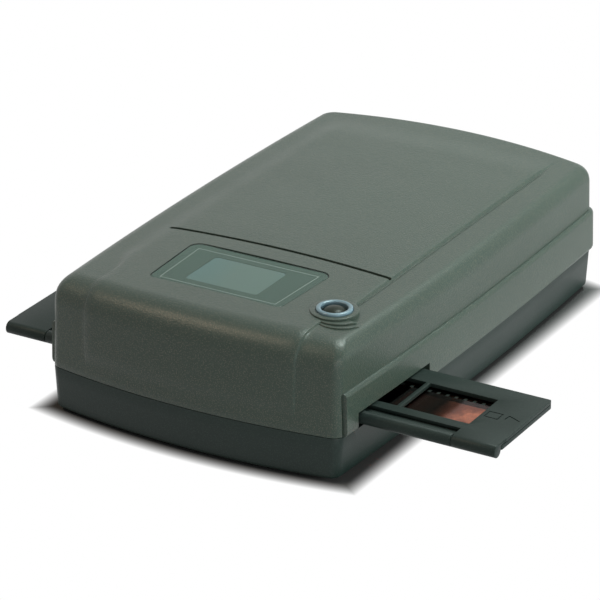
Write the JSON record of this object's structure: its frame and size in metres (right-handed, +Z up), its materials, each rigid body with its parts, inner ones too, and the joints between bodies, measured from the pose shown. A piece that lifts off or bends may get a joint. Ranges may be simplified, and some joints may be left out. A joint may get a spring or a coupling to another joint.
{
  "type": "film scanner",
  "caption": "Desktop film scanner: a long low case with bowed walls, a display and a round button, and a hinged film holder that slides through a slot in each side.",
  "frame": {"origin": "on the table under the object's middle: under the middle of the film holder's length and of the case's depth", "axes": "+Z up, +Y from the front with the display and the button to the back with the sockets, +X to the right, along the film holder"},
  "size_m": [0.2694, 0.2812, 0.0726],
  "materials": {
    "cover_grey": "satin grey with a green tint and a fine speckle",
    "base_grey": "satin dark grey",
    "window_grey": "clear smoked window with a pale frame line",
    "panel_grey": "unlit liquid crystal panel",
    "ring_silver": "satin plated ring",
    "cap_dark": "gloss black",
    "holder_black": "satin black",
    "film_orange": "colour negative film",
    "rubber_black": "matt rubber",
    "steel": "bright steel",
    "brass": "turned brass",
    "board_green": "circuit board laminate",
    "chip_black": "moulded black",
    "guide_black": "moulded black",
    "nylon_white": "natural nylon",
    "diffuser_white": "milky diffuser",
    "lens_glass": "polished",
    "mirror_glass": "front-silvered"
  },
  "bodies": {
    "case": {"upper_case": "cover_grey", "lower_case": "base_grey", "display_window": "window_grey", "display_panel": "panel_grey", "button_ring": "ring_silver", "button_switch": "chip_black", "front_board": "board_green", "film_guide": "guide_black", "detent_spring": "steel", "lamp_housing": "guide_black", "lamp_diffuser": "diffuser_white", "lamp_board": "board_green", "drive_chassis": "steel", "front_guide_rod": "steel", "rear_guide_rod": "steel", "stepper_motor": "steel", "main_board": "board_green", "processor_chip": "chip_black", "memory_chip": "chip_black", "interface_chip": "chip_black", "input_capacitor": "steel", "lamp_capacitor": "steel", "motor_capacitor": "steel", "usb_socket": "steel", "power_socket": "chip_black", "switch_housing": "chip_black", "foot_front_left": "rubber_black", "case_screw_front_left": "steel", "foot_back_left": "rubber_black", "case_screw_back_left": "steel", "foot_front_right": "rubber_black", "case_screw_front_right": "steel", "foot_back_right": "rubber_black", "case_screw_back_right": "steel"},
    "holder": {"holder_tray": "holder_black", "holder_lid": "holder_black", "hinge_pin_left": "steel", "hinge_pin_right": "steel", "film_strip": "film_orange"},
    "button": {"scan_button": "cap_dark", "switch_plunger": "nylon_white"},
    "carriage": {"optics_carriage": "guide_black", "fold_mirror": "mirror_glass", "lens_barrel": "guide_black", "lens_glass_front": "lens_glass", "lens_glass_rear": "lens_glass", "sensor_board": "board_green", "drive_nut": "brass"},
    "lead_screw": {"lead_screw": "steel", "screw_gear": "nylon_white"},
    "pinion": {"motor_pinion": "brass"},
    "rocker": {"power_rocker": "cap_dark"}
  },
  "joints": [
    {"name": "holder_slide", "type": "slide", "parent": "case", "child": "holder", "axis": [1, 0, 0], "range_m": [-0.114, 0.076]},
    {"name": "button_press", "type": "slide", "parent": "case", "child": "button", "axis": [0, 0, -1], "range_m": [0, 0.0008], "stiffness_N_per_m": 1200, "springref_m": -0.0004},
    {"name": "carriage_slide", "type": "slide", "parent": "case", "child": "carriage", "axis": [1, 0, 0], "range_m": [-0.018, 0.018]},
    {"name": "screw_spin", "type": "hinge", "parent": "case", "child": "lead_screw", "pos_m": [-0.0179, 0.05065, 0.014], "axis": [1, 0, 0], "range_deg": [-2170, 2170]},
    {"name": "pinion_spin", "type": "hinge", "parent": "case", "child": "pinion", "pos_m": [-0.0719, 0.05935, 0.014], "axis": [1, 0, 0], "range_deg": [-5220, 5220]},
    {"name": "power_rock", "type": "hinge", "parent": "case", "child": "rocker", "pos_m": [0.0221, 0.13643, 0.014], "axis": [0, 0, 1], "range_deg": [-16, 0]}
  ],
  "couplings": [
    {"joint": "screw_spin", "follows": "carriage_slide", "rad_per_m": 2094.4},
    {"joint": "pinion_spin", "follows": "carriage_slide", "rad_per_m": -5026.5}
  ]
}
